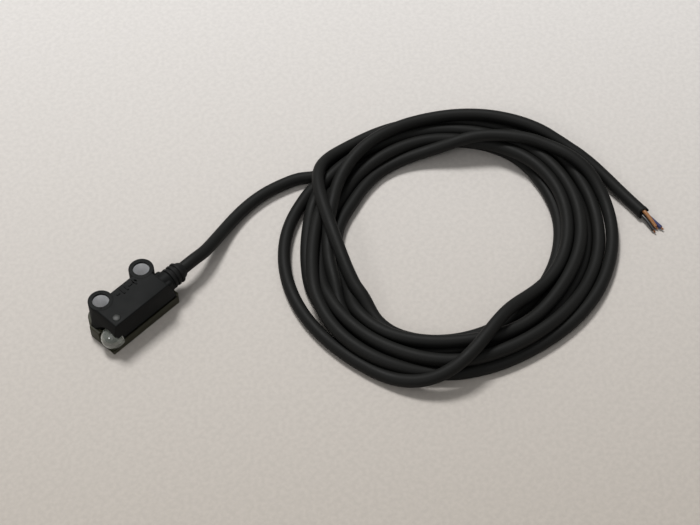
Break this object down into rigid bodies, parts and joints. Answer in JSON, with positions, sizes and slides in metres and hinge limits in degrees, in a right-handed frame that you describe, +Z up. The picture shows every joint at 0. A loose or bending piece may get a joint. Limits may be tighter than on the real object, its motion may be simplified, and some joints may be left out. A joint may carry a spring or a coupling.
{
  "type": "photoelectric sensor",
  "caption": "Miniature photoelectric sensor head with a front lens, sleeved mounting holes and a fixed cable lying in a loose coil.",
  "frame": {"origin": "centre of the bottom of the sensor head, on the surface that it lies on", "axes": "+X the way the lens looks, +Y from the mounting holes to the flat side, +Z up along the mounting holes"},
  "size_m": [0.098, 0.0728, 0.0077],
  "materials": {
    "black_case": "moulded black polybutylene terephthalate, fine satin texture",
    "smoked_cover": "smoked polycarbonate, polished",
    "clear_lens": "clear polycarbonate, polished",
    "nickel_sleeve": "nickel-plated brass, bright",
    "seal_rubber": "matte silicone",
    "relief_rubber": "matte black elastomer",
    "cable_jacket": "matte black PVC",
    "mask_metal": "blackened thin sheet",
    "holder_plastic": "matte black moulding",
    "chip_resin": "dark daylight-filter resin",
    "orange_led": "tinted resin",
    "green_led": "tinted resin",
    "board_laminate": "green solder mask on glass-fibre laminate",
    "chip_moulding": "black epoxy moulding",
    "ceramic": "tan ceramic",
    "tinplate": "bright tin",
    "solder": "tin solder, satin",
    "brown_insulation": "brown PVC",
    "blue_insulation": "blue PVC",
    "black_insulation": "black PVC",
    "copper": "bare stranded copper"
  },
  "bodies": {
    "root": {"upper_case": "black_case", "base_cover": "smoked_cover", "joint_seal": "seal_rubber", "front_sleeve": "nickel_sleeve", "rear_sleeve": "nickel_sleeve", "front_lens": "clear_lens", "slit_mask": "mask_metal", "receiver_holder": "holder_plastic", "receiver_chip": "chip_resin", "indicator_window": "clear_lens", "output_led": "orange_led", "stability_led": "green_led", "circuit_board": "board_laminate", "control_chip": "chip_moulding", "output_transistor": "chip_moulding", "chip_capacitors": "ceramic", "chip_resistors": "chip_moulding", "noise_shield": "tinplate", "cable_clamp": "tinplate", "strain_relief": "relief_rubber", "cable_entry": "cable_jacket", "brown_core": "brown_insulation", "blue_core": "blue_insulation", "black_core": "black_insulation", "solder_joints": "solder", "cable_lead": "cable_jacket", "cable_coil": "cable_jacket", "cable_tail": "cable_jacket", "brown_core_end": "brown_insulation", "blue_core_end": "blue_insulation", "black_core_end": "black_insulation", "copper_tips": "copper"}
  },
  "joints": []
}
